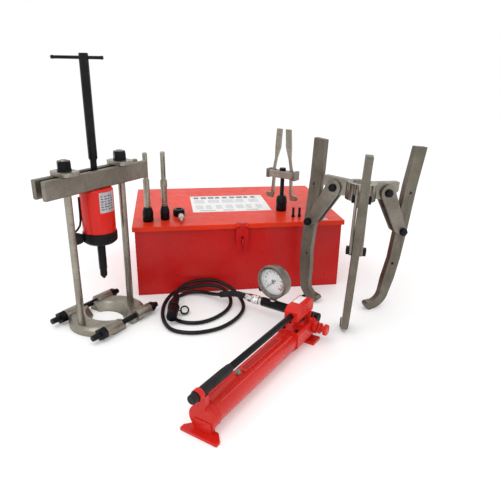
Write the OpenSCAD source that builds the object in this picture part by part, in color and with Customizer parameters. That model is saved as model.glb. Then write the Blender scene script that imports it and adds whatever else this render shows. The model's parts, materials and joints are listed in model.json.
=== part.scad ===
// Hydraulic gear puller kit: steel case, two-leg frame puller with hollow ram and bearing splitter,
// three-jaw puller, hand pump with gauge and hose, and small accessories standing on the case lid.
// Millimetres, +Z up. Positions are given from the front left bottom corner of the case body.

/* [Case] */
// Width of the case body
case_w = 750; // [700:5:800]
// Depth of the case body
case_d = 529; // [500:1:560]
// Height to the top of the closed lid
case_h = 262; // [240:1:280]
// Sheet thickness of the case
sheet = 2.5; // [2:0.5:4]
// Height of the lid's skirt
lid_skirt = 17; // [14:1:24]
// How far the lid stands out past the body on every side
lid_over = 9; // [8:1:12]

/* [Frame puller] */
// Centre of the frame puller, across
frame_x = -95; // [-110:1:-85]
// Centre of the frame puller, front to back
frame_y = -161; // [-180:1:-150]
// Direction of the two beams
frame_turn = 48; // [44:1:52]
// Length of each beam
beam_l = 386; // [360:2:420]
// Height of each beam
beam_h = 55; // [45:1:65]
// Thickness of each beam
beam_t = 17; // [14:1:20]
// Slot between the two beams
beam_gap = 24; // [24:1:26]
// Top of the beams above the floor
beam_top = 499; // [480:1:520]
// Distance of each leg from the centre
leg_s = 104; // [100:1:110]
// Diameter of the legs
leg_d = 22; // [18:1:22]
// Outer diameter of the ram
ram_d = 100; // [90:1:104]
// Diameter of the T-handle screw
screw_d = 26; // [24:1:28]
// Top of the T-handle screw above the floor
screw_top = 820; // [780:5:840]
// Length of the T-bar
t_bar_l = 144; // [130:2:170]

/* [Bearing splitter] */
// Distance of each clamping stud from the centre
stud_v = 93; // [90:1:96]
// Length of each stud
stud_l = 290; // [280:2:300]
// Diameter of the studs
stud_d = 18; // [14:1:20]
// Thickness of the splitter plates
plate_t = 28; // [24:1:30]

/* [Three-jaw puller] */
// Centre of the three-jaw puller, across
jaw_x = 702; // [690:1:720]
// Centre of the three-jaw puller, front to back
jaw_y = -225; // [-235:1:-215]
// Direction of the first jaw
jaw_turn = 130; // [125:1:135]
// Thickness of each jaw
jaw_t = 22; // [18:1:24]
// Thickness of each strap
strap_t = 8; // [6:1:10]
// Diameter of the jaw and head bolts
bolt_d = 16; // [12:1:18]
// Threaded bore of the head
head_bore = 57; // [50:1:60]

/* [Hand pump] */
// Rear foot of the pump, across
pump_x = 165; // [150:1:180]
// Rear foot of the pump, front to back
pump_y = -765; // [-780:1:-750]
// Direction of the pump
pump_turn = 48; // [46:1:50]
// Diameter of the oil tank tube
tank_d = 68; // [64:1:70]
// Height of the tank's axis
tank_z = 40; // [38:1:42]
// Height of the handle's axis in its stowed position
handle_z = 118; // [116:1:120]
// Diameter of the handle tube
handle_d = 18; // [16:1:20]
// Diameter of the handle grip
grip_d = 23; // [22:1:26]

/* [Gauge and hose] */
// Diameter of the pressure gauge
gauge_d = 106; // [100:1:110]
// Distance of the gauge from the pump's centre plane
gauge_v = 133; // [125:1:140]
// Height of the gauge's centre
gauge_z = 143; // [142:1:150]
// Diameter of the hose
hose_d = 13; // [12:1:14]

/* [Lid accessories] */
// Length of the extension rods above their sockets
rod_l = 195; // [180:1:210]
// Diameter of the lower part of the extension rods
rod_d = 22; // [18:1:24]
// Half the distance between the cup puller's legs at the cross bar
cup_leg = 38; // [34:1:42]

/* [Hidden] */

$fn = 64;
// Move from the corner of the case body to the middle of the whole kit's footprint
shift_x = -336.35;
shift_y = 128.37;
// Radial play of running fits
play = 0.08;
// Gap between bodies that pass each other
gap = 0.5;
tub_h = case_h - sheet;
hinge_y = case_d + lid_over + 6;
hinge_z = case_h - 12;
hinge_xs = [120, 375, 630];
knuckle = 22;
hasp_x = 376;
hasp_w = 44;
hasp_y = -lid_over - 4;
hasp_z = case_h - 6;
staple_z = 198;
staple_r = 3;
beam_bottom = beam_top - beam_h;
beam_v = (beam_gap + beam_t) / 2;
saddle_t = 12;
saddle_l = 76;
saddle_w = 56;
nut_z = beam_top + saddle_t;
nut_h = 28;
stud_z = 23;
boss_r = 18;
boss_end = 96;
collar_top = 307;
collar_bottom = 270;
plunger_d = 60;
neck_d = 19;
shoulder_z = 531;
t_bar_d = 9;
t_bar_z = screw_top - 12;
t_bar_turn = -57.6;
t_bar_shift = -18;
head_bolt = [91, 424];
jaw_bolt = [172, 289];
// The three-jaw puller leans on its feet as it stands: roll of the whole tool and swing of each jaw
jaw_roll = 2.4;
jaw_lean = [-3, 0, 3];
foot_lift = 0.3;
spare_holes = [[176, 420], [164, 172]];
head_top = 457;
head_bottom = 403;
strap_y = jaw_t / 2 + gap;
pivot_u = 520;
pivot_z = 92;
block_w = 42;
lug_r = 11;
head_u0 = 425;
head_u1 = 548;
head_top_z = 70;
// Section of the pump head, wide at the tank's side and cut away above the foot
head_outline = [[-16, 8], [20, 8], [37, 22], [37, head_top_z - 6], [31, head_top_z], [-24, head_top_z],
    [-30, head_top_z - 6], [-30, 24]];
tank_v = 5;
vent_u = 164;
plunger_u = 488;
adapter_u = head_u1 + 16;
adapter_z = 62;
gauge_u = adapter_u;
gauge_turn = -5;
valve_u = 528;
valve_z = 50;
coupler_v0 = 174;
coupler_v1 = 228;
socket_h = 50;
rod_a_at = [46, 62];
rod_b_at = [106, 78];
cup_at = [554, 147];
cup_turn = -45;
cup_bar_z = 405;
cup_foot_z = 322;
// Route of the hose's centre line, from the pump's coupler to its own end coupler
hose_route = [[373, -193, 62], [336, -160, 61], [310, -134, 50], [284, -102, 34], [258, -64, 20],
    [226, -34, 14], [188, -24, 11], [152, -35, 7], [122, -66, 7], [109, -112, 7], [108, -164, 7],
    [125, -212, 7], [160, -240, 7], [208, -244, 7], [256, -220, 7], [300, -172, 7], [322, -116, 9],
    [316, -66, 22], [284, -30, 32], [236, -18, 34], [180, -22, 28], [128, -43, 24], [95, -92, 12],
    [84, -160, 7], [92, -236, 7], [122, -288, 7], [188, -308, 7], [262, -290, 7], [322, -238, 7],
    [358, -170, 7], [360, -104, 12], [332, -48, 30], [286, -18, 47], [236, -12, 52], [190, -18, 49],
    [156, -38, 43], [139, -64, 38], [134, -92, 36]];
hose_end_at = hose_route[len(hose_route) - 1];
hose_end_to = [113, -246, 34];

// Points of an arc from angle a0 to a1
function arc(c, r, a0, a1, n) = [for (i = [0:n]) c + r * [cos(a0 + (a1 - a0) * i / n), sin(a0 + (a1 - a0) * i / n)]];
function unit(v) = v / norm(v);
// Rectangle with cut corners
function cut_rect(w, h, c) = [[c, 0], [w - c, 0], [w, c], [w, h - c], [w - c, h], [c, h], [0, h - c], [0, c]];

module kit() translate([shift_x, shift_y, 0]) children();
module at_frame() kit() translate([frame_x, frame_y, 0]) rotate([0, 0, frame_turn]) children();
module at_puller() kit() translate([jaw_x, jaw_y, foot_lift]) rotate(a = jaw_roll, v = [cos(80), sin(80), 0]) children();
module at_jaw(k) at_puller() rotate([0, 0, jaw_turn + 120 * k]) children();
module at_pump() kit() translate([pump_x, pump_y, 0]) rotate([0, 0, pump_turn]) children();
module at_lid(p) kit() translate([p[0], p[1], case_h]) children();
module at_gauge() at_pump() translate([gauge_u, gauge_v, gauge_z]) rotate([0, 0, gauge_turn]) rotate([0, -90, 0]) children();
// Bar along X with its four long edges cut
module bar(l, w, h, c = 2) translate([0, -w / 2, 0]) rotate([90, 0, 90]) linear_extrude(l) polygon(cut_rect(w, h, c));
// Cylinder along X, Y or Z from a to b
module rod_x(r, a, b) translate([a, 0, 0]) rotate([0, 90, 0]) cylinder(r = r, h = b - a);
module rod_y(r, a, b) translate([0, b, 0]) rotate([90, 0, 0]) cylinder(r = r, h = b - a);
module rod_z(r, a, b) translate([0, 0, a]) cylinder(r = r, h = b - a);
module hex_z(af, a, b) translate([0, 0, a]) cylinder(r = af / sqrt(3), h = b - a, $fn = 6);
module hex_x(af, a, b) translate([a, 0, 0]) rotate([0, 90, 0]) cylinder(r = af / sqrt(3), h = b - a, $fn = 6);
module hex_y(af, a, b) translate([0, b, 0]) rotate([90, 0, 0]) cylinder(r = af / sqrt(3), h = b - a, $fn = 6);

// ---- Case ----
module case_tub() color("firebrick") kit() {
    difference() {
        cube([case_w, case_d, tub_h]);
        translate([sheet, sheet, sheet]) cube([case_w - 2 * sheet, case_d - 2 * sheet, tub_h]);
    }
    difference() {
        translate([0, 0, tub_h - sheet]) cube([case_w, case_d, sheet]);
        translate([14, 14, tub_h - 2 * sheet]) cube([case_w - 28, case_d - 28, 3 * sheet]);
    }
    translate([-1.5, -1.5, 0]) cube([case_w + 3, case_d + 3, 4]);
}
// Small plate on the front wall with the loop that takes the padlock
module case_staple() color("firebrick") kit() {
    translate([hasp_x - 12, -2, staple_z - 20]) cube([24, 2, 40]);
    for (side = [-1, 1]) translate([hasp_x, 0, staple_z + side * 9]) rod_y(staple_r, -17, -1);
    translate([hasp_x, -17, staple_z]) rotate([0, -90, 0]) mirror([0, 1, 0])
        rotate_extrude(angle = 180) translate([9, 0]) circle(r = staple_r);
}

module case_hinge() color("firebrick") kit() {
    translate([hinge_xs[0] - 40, case_d + 1.5, hinge_z - 42]) cube([hinge_xs[2] - hinge_xs[0] + 80, 2.5, 30]);
    translate([0, hinge_y, hinge_z]) rod_x(2.5, hinge_xs[0] - 33, hinge_xs[2] + 33);
    for (x = hinge_xs, side = [-1, 1]) translate([x + side * knuckle - knuckle / 2 + 0.5, 0, 0]) {
        translate([0, hinge_y, hinge_z]) rod_x(5, 0, knuckle - 1);
        translate([0, case_d + 1.5, hinge_z - 16]) cube([knuckle - 1, hinge_y + 5 - case_d - 1.5, 4]);
        translate([0, hinge_y - 2, hinge_z - 16]) cube([knuckle - 1, 7, 16]);
    }
}

module case_lid() color("orangered") kit() {
    lid_w = case_w + 2 * lid_over;
    lid_d = case_d + 2 * lid_over;
    difference() {
        translate([-lid_over, -lid_over, case_h - lid_skirt]) cube([lid_w, lid_d, lid_skirt]);
        translate([sheet - lid_over, sheet - lid_over, case_h - lid_skirt - 1])
            cube([lid_w - 2 * sheet, lid_d - 2 * sheet, lid_skirt + 1 - sheet]);
    }
    for (x = hinge_xs) difference() {
        union() {
            translate([x - knuckle / 2 + 0.5, hinge_y, hinge_z]) rod_x(5, 0, knuckle - 1);
            translate([x - knuckle / 2 + 0.5, case_d + lid_over - 1, hinge_z]) cube([knuckle - 1, 7, 5]);
        }
        translate([0, hinge_y, hinge_z]) rod_x(2.5 + play, x - knuckle, x + knuckle);
    }
    for (side = [-1, 1]) translate([hasp_x + side * 16 - 5, 0, 0]) difference() {
        union() {
            translate([0, hasp_y, hasp_z]) rod_x(4, 0, 10);
            translate([0, hasp_y, hasp_z - 4]) cube([10, 5, 8]);
        }
        translate([0, hasp_y, hasp_z]) rod_x(2 + play, -1, 11);
    }
}

// Hasp strap that hangs over the staple; its slot is open at the lower end
module hasp_strap() color("firebrick") kit() {
    translate([hasp_x, hasp_y, hasp_z]) rod_x(2, -21, 21);
    translate([hasp_x, hasp_y, hasp_z]) rod_x(4, -10.5, 10.5);
    translate([hasp_x - 10.5, hasp_y - 4, hasp_z - 12]) cube([21, 3, 12]);
    translate([hasp_x, hasp_y - 1, 0]) rotate([90, 0, 0]) linear_extrude(3) difference() {
        union() {
            translate([-hasp_w / 2, 188]) square([hasp_w, hasp_z - 8 - 188]);
            translate([0, 188]) circle(r = hasp_w / 2);
        }
        translate([-5, 150]) square([10, 68]);
    }
}

// ---- Frame puller ----
module beam(side) at_frame() translate([-beam_l / 2, side * beam_v, beam_bottom]) bar(beam_l, beam_t, beam_h, 3);
module beam_front() color("dimgray") beam(-1);
module beam_rear() color("dimgray") beam(1);

// Plate across both beams, with round ends and a hole for the leg
module saddle(side) color("gray") at_frame() translate([side * leg_s, 0, beam_top]) difference() {
    linear_extrude(saddle_t) {
        square([saddle_w, saddle_l - 30], center = true);
        for (e = [-1, 1], f = [-1, 1]) translate([f * (saddle_w / 2 - 15), e * (saddle_l / 2 - 15)]) circle(r = 15);
        square([saddle_w - 30, saddle_l], center = true);
    }
    rod_z(leg_d / 2 + play, -1, saddle_t + 1);
}
module saddle_left() saddle(-1);
module saddle_right() saddle(1);

module leg(side) color("darkgray") at_frame() translate([side * leg_s, 0, 0]) {
    rod_z(leg_d / 2, 6, nut_z + nut_h + 1);
    translate([0, 0, nut_z + nut_h + 1]) cylinder(r1 = leg_d / 2, r2 = leg_d / 2 - 3, h = 3);
}
module leg_left() leg(-1);
module leg_right() leg(1);

module leg_nut(side) color("#222222") at_frame() translate([side * leg_s, 0, nut_z]) difference() {
    union() {
        rod_z(20, 0, 5);
        intersection() {
            hex_z(35, 5, nut_h);
            cylinder(r1 = 25, r2 = 17, h = nut_h + 4);
        }
    }
    rod_z(leg_d / 2 + play, -1, nut_h + 1);
}
module leg_nut_left() leg_nut(-1);
module leg_nut_right() leg_nut(1);

// Half of the bearing splitter: curved plate, bevelled inner edge, two bosses for the studs
module splitter(side) color("darkgray") at_frame() mirror([side < 0 ? 1 : 0, 0, 0]) difference() {
    union() {
        difference() {
            intersection() {
                translate([18, 0, 0]) union() {
                    rod_z(108, 0, plate_t - 8);
                    translate([0, 0, plate_t - 8]) cylinder(r1 = 108, r2 = 98, h = 8);
                }
                translate([14, -stud_v - 6, 0]) cube([120, 2 * stud_v + 12, plate_t]);
            }
            translate([-18, 0, -1]) cylinder(r1 = 62, r2 = 84, h = plate_t + 2);
        }
        for (e = [-1, 1]) translate([0, e * stud_v, stud_z]) rod_x(boss_r, 34, boss_end);
    }
    for (e = [-1, 1]) translate([0, e * stud_v, stud_z]) rod_x(stud_d / 2 + play, -10, 140);
    translate([leg_s, 0, 0]) rod_z(leg_d / 2 + play, 6, plate_t + 1);
}
module splitter_left() splitter(-1);
module splitter_right() splitter(1);

// Clamping stud with its nuts, along the beams' direction
module stud(e) color("#222222") at_frame() translate([0, e * stud_v, stud_z]) {
    rod_x(stud_d / 2, -stud_l / 2, stud_l / 2 - 12);
    hex_x(34, -boss_end - 22, -boss_end - gap);
    rod_x(17, boss_end + gap, boss_end + 16);
    rod_x(13, boss_end + 16, boss_end + 24);
}
module stud_front() stud(-1);
module stud_rear() stud(1);

// Hollow ram with a neck that goes up between the beams
module ram_cylinder() color("red") at_frame() difference() {
    union() {
        rod_z(ram_d / 2, collar_top, beam_bottom - 6);
        translate([0, 0, beam_bottom - 6]) cylinder(r1 = ram_d / 2, r2 = ram_d / 2 - 5, h = 6);
        rod_z(beam_gap / 2 - 0.3, beam_bottom - 1, beam_top - 14);
    }
    rod_z(neck_d / 2 + play, 400, beam_top + 2);
    rod_z(plunger_d / 2 + play, collar_top - 1, 400);
}

module ram_collar() color("#222222") at_frame() difference() {
    union() {
        rod_z(ram_d / 2 + 2, collar_bottom + 8, collar_top);
        translate([0, 0, collar_bottom]) cylinder(r1 = ram_d / 2 - 7, r2 = ram_d / 2 + 2, h = 8);
    }
    rod_z(plunger_d / 2 + play, collar_bottom - 1, collar_top + 1);
}

// Coupler with its rubber dust cap, on the side of the collar
module ram_coupler() color("#222222") at_frame() translate([0, 0, 288]) rotate([0, 0, 147]) {
    difference() {
        rod_x(12, 40, 62);
        translate([0, 0, -288]) rod_z(ram_d / 2 + 2, 200, 380);
    }
    rod_x(15, 54, 60);
    translate([60, 0, 0]) rotate([0, 90, 0]) cylinder(r1 = 17, r2 = 19, h = 10);
    rod_x(19, 70, 78);
}

module ram_plunger() color("silver") at_frame() difference() {
    rod_z(plunger_d / 2, collar_bottom - 2, 394);
    rod_z(neck_d / 2 + gap, collar_bottom - 3, 395);
}

// Adapter with a conical point, under the ram
module screw_tip() color("#222222") at_frame() difference() {
    union() {
        rod_z(12.5, 180, collar_bottom - 2);
        rod_z(11, 157, 180);
        translate([0, 0, 146]) cylinder(r1 = 3, r2 = 11, h = 11);
    }
    rod_z(neck_d / 2 + gap, 186, collar_bottom);
}

module drive_screw() color("#222222") at_frame() difference() {
    union() {
        rod_z(neck_d / 2, 215, shoulder_z);
        translate([0, 0, shoulder_z - 6]) cylinder(r1 = neck_d / 2, r2 = screw_d / 2, h = 6);
        rod_z(screw_d / 2, shoulder_z, screw_top - 2);
        translate([0, 0, screw_top - 2]) cylinder(r1 = screw_d / 2, r2 = screw_d / 2 - 2, h = 2);
    }
    translate([0, 0, t_bar_z]) rotate([0, 0, t_bar_turn]) rod_x(t_bar_d / 2 + play, -20, 20);
}

module t_bar() color("#222222") at_frame() translate([0, 0, t_bar_z]) rotate([0, 0, t_bar_turn])
    rod_x(t_bar_d / 2, t_bar_shift - t_bar_l / 2, t_bar_shift + t_bar_l / 2);

// ---- Three-jaw puller ----
module jaw_head() color("gray") {
    difference() {
        union() {
            at_puller() rod_z(48, head_bottom, head_top);
            for (k = [0:2]) at_jaw(k) translate([0, jaw_t / 2, 0]) rotate([90, 0, 0]) linear_extrude(jaw_t)
                polygon([[36, head_bottom + 3], [102, head_bottom - 4], [133, 428], [133, head_top], [36, head_top]]);
        }
        at_puller() rod_z(head_bore / 2, head_bottom - 1, head_top + 1);
        for (k = [0:2]) at_jaw(k) translate([head_bolt[0], 0, head_bolt[1]]) rod_y(bolt_d / 2 + play, -20, 20);
    }
}

// Two side plates and the two bolts that join them
module strap(k) color("silver") at_jaw(k) {
    for (side = [-1, 1]) translate([0, side * (strap_y + strap_t / 2) + strap_t / 2, 0]) rotate([90, 0, 0])
        linear_extrude(strap_t) hull() {
            translate(head_bolt) circle(r = 26, $fn = 32);
            translate(jaw_bolt) circle(r = 15, $fn = 32);
            translate(jaw_bolt + [-20, 12]) circle(r = 15, $fn = 32);
        }
    for (p = [head_bolt, jaw_bolt]) translate([p[0], 0, p[1]]) {
        rod_y(bolt_d / 2, -strap_y - strap_t - 1, strap_y + strap_t + 1);
        for (side = [-1, 1]) hex_y(23, side < 0 ? -strap_y - strap_t - 10 : strap_y + strap_t,
            side < 0 ? -strap_y - strap_t : strap_y + strap_t + 10);
    }
}
module strap_1() strap(0);
module strap_2() strap(1);
module strap_3() strap(2);

// Outline of a jaw: straight tail, wide middle, narrow hook pointing inwards
function jaw_outline() = concat([[159, 570], [151, 440], [150, 289], [150, 190], [140, 115]],
    arc([97, 68], 41, -3, -78, 8), [[96, 28], [88, 21], [92, 12], [100, 3]], arc([107, 66], 66, -90, -5, 10),
    [[184, 115], [191, 190], [194, 289], [195, 440], [202, 570]]);
module jaw(k) color("dimgray") at_jaw(k) translate([jaw_bolt[0], 0, jaw_bolt[1]]) rotate([0, jaw_lean[k], 0])
    translate([-jaw_bolt[0], 0, -jaw_bolt[1]]) difference() {
        union() {
            translate([0, jaw_t / 2, 0]) rotate([90, 0, 0]) linear_extrude(jaw_t) polygon(jaw_outline());
            translate([0, 14, 0]) rotate([90, 0, 0]) linear_extrude(28) intersection() {
                polygon(jaw_outline());
                translate([80, 0]) square([34, 34]);
            }
        }
        translate([jaw_bolt[0], 0, jaw_bolt[1]]) rod_y(bolt_d / 2 + play, -20, 20);
        for (p = spare_holes) translate([p[0], 0, p[1]]) rod_y(5, -20, 20);
    }
module jaw_1() jaw(0);
module jaw_2() jaw(1);
module jaw_3() jaw(2);

// ---- Hand pump ----
module pump_tank() color("red") at_pump() {
    translate([0, tank_v, tank_z]) rod_x(tank_d / 2, 26, head_u0);
    translate([0, tank_v, tank_z]) rod_x(tank_d / 2 + 1.5, 26, 40);
    translate([180, tank_v, tank_z + tank_d / 2 - 5]) bar(190, 22, 7, 1.5);
    translate([vent_u, tank_v, tank_z + tank_d / 2 - 4]) rod_z(11, 0, 5);
}

// Rear end cap with its foot and the cradle for the handle
module rear_foot() color("red") at_pump() {
    translate([0, tank_v, tank_z]) rod_x(tank_d / 2 + 1.5, 12, 26);
    linear_extrude(8) polygon([[-8, -52], [6, -52], [26, -34], [26, 34], [6, 52], [-8, 52]]);
    translate([10, -24, 7]) cube([16, 48, 30]);
    translate([8, -9, tank_z + tank_d / 2 - 6]) cube([16, 18, handle_z - grip_d / 2 - gap - tank_z - tank_d / 2 + 6]);
}

module pump_head() color("red") at_pump() {
    difference() {
        union() {
            translate([head_u0, 0, 0]) rotate([90, 0, 90]) linear_extrude(head_u1 - head_u0) polygon(head_outline);
            for (side = [-1, 1]) translate([pivot_u, side * 19.5, 0]) {
                translate([0, 0, pivot_z]) rod_y(lug_r, -6.5, 6.5);
                translate([-lug_r, -6.5, head_top_z - 8]) cube([2 * lug_r, 13, pivot_z - head_top_z + 8]);
            }
            translate([plunger_u, 0, head_top_z - 2]) rod_z(17, 0, 12);
            translate([502, -46, 0]) cube([46, 92, 8.5]);
        }
        translate([plunger_u, 0, 0]) rod_z(9 + play, 30, 100);
        translate([valve_u, 0, valve_z]) rod_y(6 + play, -50, -14);
    }
    translate([pivot_u, 0, pivot_z]) rod_y(5, -29, 29);
}

// Lever: the wide block that holds the handle, with a tongue on the pivot pin
module lever_block() color("red") at_pump() difference() {
    union() {
        translate([0, block_w / 2, 0]) rotate([90, 0, 0]) linear_extrude(block_w) polygon(concat(
            [[430, 104], [532, 104], [535, 110]], arc([522, 130], 13, 0, 90, 6), [[444, 143], [430, 132]]));
        translate([pivot_u, 0, pivot_z]) rod_y(lug_r, -12.5, 12.5);
        translate([pivot_u - lug_r, -12.5, pivot_z]) cube([2 * lug_r, 25, 14]);
    }
    translate([pivot_u, 0, pivot_z]) rod_y(5 + play, -30, 30);
    translate([0, 0, handle_z]) rod_x(handle_d / 2 + play, 420, 482);
}

module handle_tube() color("#222222") at_pump() translate([0, 0, handle_z]) rod_x(handle_d / 2, 114, 480);

module handle_grip() color("#222222") at_pump() translate([0, 0, handle_z]) difference() {
    union() {
        rod_x(grip_d / 2, -26, 108);
        translate([108, 0, 0]) rotate([0, 90, 0]) cylinder(r1 = grip_d / 2, r2 = handle_d / 2 + 2, h = 12);
        translate([-30, 0, 0]) rotate([0, 90, 0]) cylinder(r1 = grip_d / 2 - 3, r2 = grip_d / 2, h = 4);
    }
    rod_x(handle_d / 2 + play, 114, 130);
}

// Ring on the grip
module grip_ring() color("red") at_pump() translate([0, 0, handle_z]) difference() {
    rod_x(grip_d / 2 + 3, -12, 4);
    rod_x(grip_d / 2 + play, -13, 5);
}

module pump_plunger() color("silver") at_pump() translate([plunger_u, 0, 0]) {
    rod_z(9, 34, 102);
}

module release_valve() color("red") at_pump() translate([valve_u, 0, valve_z]) {
    rod_y(6, -46, -18);
    hex_y(24, -44, -31 - gap);
    rod_y(9, -66, -44);
    rod_y(16, -56, -50);
    rod_y(16, -76, -66);
}

module vent_screw() color("silver") at_pump() translate([vent_u, tank_v, tank_z + tank_d / 2 + 1]) {
    rod_z(8, 0, 3);
    rod_z(7, 3, 7);
    translate([0, 0, 7]) cylinder(r1 = 7, r2 = 4, h = 5);
}

// ---- Gauge and hose ----
module gauge_adapter() color("#222222") at_pump() {
    translate([adapter_u, 0, adapter_z]) rod_y(15.5, -30, coupler_v0);
    translate([adapter_u - 16, -26, adapter_z - 15]) cube([16, 52, 30]);
    translate([gauge_u, gauge_v, adapter_z]) rod_z(10, 12, 22);
}

module gauge_case() color("#77716a") {
    at_gauge() difference() {
        union() {
            rod_z(gauge_d / 2, -18, 14);
            translate([0, 0, 14]) cylinder(r1 = gauge_d / 2, r2 = gauge_d / 2 - 3, h = 5);
            translate([0, 0, -22]) cylinder(r1 = gauge_d / 2 - 8, r2 = gauge_d / 2, h = 4);
        }
        rod_z(gauge_d / 2 - 5, 4, 30);
    }
    at_pump() translate([gauge_u, gauge_v, 0]) {
        hex_z(16, adapter_z + 22, gauge_z - gauge_d / 2 + 2);
    }
}

// Needle at zero, towards the lower left of the dial
module gauge_needle() color("black") at_gauge() rotate([0, 0, 135]) {
    rod_z(2, 4.5, 8);
    rod_z(4, 6, 8);
    translate([0, 0, 6.5]) linear_extrude(1) polygon([[-14, -2], [-14, 2], [36, 0.6], [36, -0.6]]);
}

module gauge_lens() color("lightcyan") at_gauge() rod_z(gauge_d / 2 - 5.3, 12, 14);

module hose_coupler() color("silver") at_pump() translate([adapter_u, 0, adapter_z]) {
    rod_y(9, coupler_v0, coupler_v0 + 16);
    hex_y(24, coupler_v0 + 2, coupler_v0 + 10);
    rod_y(15, coupler_v0 + 13, coupler_v0 + 36);
    rod_y(12, coupler_v0 + 36, coupler_v0 + 40);
    hex_y(24, coupler_v0 + 40, coupler_v1);
}

// Smooth curve through the route points
function spline(p0, p1, p2, p3, t) = 0.5 * (2 * p1 + (p2 - p0) * t + (2 * p0 - 5 * p1 + 4 * p2 - p3) * t * t
    + (3 * p1 - p0 - 3 * p2 + p3) * t * t * t);
function route_at(r, i, t) = spline(r[max(i - 1, 0)], r[i], r[i + 1], r[min(i + 2, len(r) - 1)], t);
function smooth(r) = concat([for (i = [0:len(r) - 2], t = [0, 0.5]) route_at(r, i, t)], [r[len(r) - 1]]);
function ring(c, d, r, sides) = let (a = unit(cross(d, [0, 0, 1])), b = cross(a, d))
    [for (k = [0:sides - 1]) c + r * (cos(360 * k / sides) * a + sin(360 * k / sides) * b)];
module tube(path, r, sides = 10) {
    n = len(path);
    rings = [for (i = [0:n - 1]) ring(path[i], unit(path[min(i + 1, n - 1)] - path[max(i - 1, 0)]), r, sides)];
    polyhedron([for (q = rings, p = q) p], concat([[for (k = [0:sides - 1]) k]],
        [for (i = [0:n - 2], k = [0:sides - 1]) let (m = (k + 1) % sides)
            [i * sides + k, (i + 1) * sides + k, (i + 1) * sides + m, i * sides + m]],
        [[for (k = [sides - 1:-1:0]) (n - 1) * sides + k]]));
}
module hose() color("#222222") kit() tube(smooth(hose_route), hose_d / 2);

// Female coupler at the hose's free end
module hose_end() color("#333333") kit() {
    d = hose_end_to - hose_end_at;
    l = norm(d);
    translate(hose_end_at) rotate([0, acos(d[2] / l), atan2(d[1], d[0])]) difference() {
        union() {
            cylinder(r1 = 9, r2 = 13, h = 40);
            rod_z(13, 40, 70);
            hex_z(27, 70, 88);
            rod_z(17, 90, l);
            rod_z(14, 88, 90);
        }
        rod_z(10, l - 34, l + 1);
    }
}

// ---- Accessories on the lid ----
module socket(d, bore) difference() {
    union() {
        rod_z(d / 2, 0, socket_h - 12);
        translate([0, 0, socket_h - 12]) cylinder(r1 = d / 2, r2 = d / 2 - 4, h = 12);
    }
    rod_z(bore / 2 + play, 20, socket_h + 1);
}
module socket_a() color("#222222") at_lid(rod_a_at) socket(37, rod_d);
module socket_b() color("#222222") at_lid(rod_b_at) socket(32, rod_d);
module rod_a() color("gray") at_lid(rod_a_at) {
    rod_z(rod_d / 2, 20, 150);
    rod_z(8.5, 150, socket_h + rod_l - 4);
    translate([0, 0, socket_h + rod_l - 4]) cylinder(r1 = 8.5, r2 = 6.5, h = 4);
}
module rod_b() color("gray") at_lid(rod_b_at) {
    rod_z(rod_d / 2, 20, 119);
    rod_z(rod_d / 2 + 1.5, 119, 145);
    rod_z(8.5, 145, socket_h + rod_l - 4);
    translate([0, 0, socket_h + rod_l - 4]) cylinder(r1 = 8.5, r2 = 6.5, h = 4);
}
module adapter_nut() color("#222222") at_lid([157, 122]) difference() {
    union() {
        rod_z(21, 0, 22);
        translate([0, 0, 22]) cylinder(r1 = 21, r2 = 19, h = 3);
    }
    rod_z(11, -1, 26);
}
// Swivel fitting that lies on its side, stem to the front
module hose_fitting() color("silver") at_lid([163, 62]) translate([0, 0, 11]) {
    hex_y(19, -12, 2);
    rod_y(7, -22, 14);
    rod_y(10, 8, 14);
    rod_y(4, -42, -22);
}

module cup_place() at_lid(cup_at) rotate([0, 0, cup_turn]) translate([0, 0, -case_h]) children();
module cup_bar() color("gray") cup_place() difference() {
    union() {
        translate([-52, 0, cup_bar_z - 14]) bar(104, 30, 28, 3);
        for (side = [-1, 1]) translate([side * 57 - 6, 0, cup_bar_z - 16]) bar(12, 34, 32, 3);
    }
    rod_z(7.5 + play, cup_bar_z - 20, cup_bar_z + 20);
    for (side = [-1, 1]) translate([side * cup_leg - 13, -6, cup_bar_z - 20]) cube([26, 12, 40]);
}
// Leg of the cup puller: outward foot, shank through the bar and a flattened blade above
module cup_leg(side) color("darkgray") cup_place() mirror([side < 0 ? 1 : 0, 0, 0]) {
    translate([0, 5, 0]) rotate([90, 0, 0]) linear_extrude(10) polygon([
        [cup_leg - 5, cup_bar_z + 22], [cup_leg - 5, cup_bar_z - 14], [cup_leg - 2, cup_foot_z + 6],
        [cup_leg + 2, cup_foot_z - 14], [cup_leg + 27, cup_foot_z - 12], [cup_leg + 32, cup_foot_z],
        [cup_leg + 26, cup_foot_z + 6], [cup_leg + 9, cup_foot_z + 6], [cup_leg + 5, cup_bar_z - 20],
        [cup_leg + 5, cup_bar_z + 20]]);
    translate([0, 4, 0]) rotate([90, 0, 0]) linear_extrude(8) polygon([
        [cup_leg - 5, cup_bar_z + 18], [cup_leg + 5, cup_bar_z + 18], [cup_leg - 3, cup_bar_z + 60],
        [cup_leg - 3, 505], [cup_leg - 8, 573], [cup_leg - 30, 573], [cup_leg - 26, 505],
        [cup_leg - 13, cup_bar_z + 60]]);
}
module cup_leg_left() cup_leg(-1);
module cup_leg_right() cup_leg(1);
module cup_screw() color("#222222") cup_place() {
    rod_z(20, case_h, 312);
    translate([0, 0, 312]) cylinder(r1 = 20, r2 = 15, h = 10);
    rod_z(7.5, 322, cup_bar_z + 24);
}
// Pair of step pins
module step_pins() color("#222222") for (x = [579, 603]) at_lid([x, 56]) {
    rod_z(6, 0, 8);
    rod_z(4.5, 8, 36);
}

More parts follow.
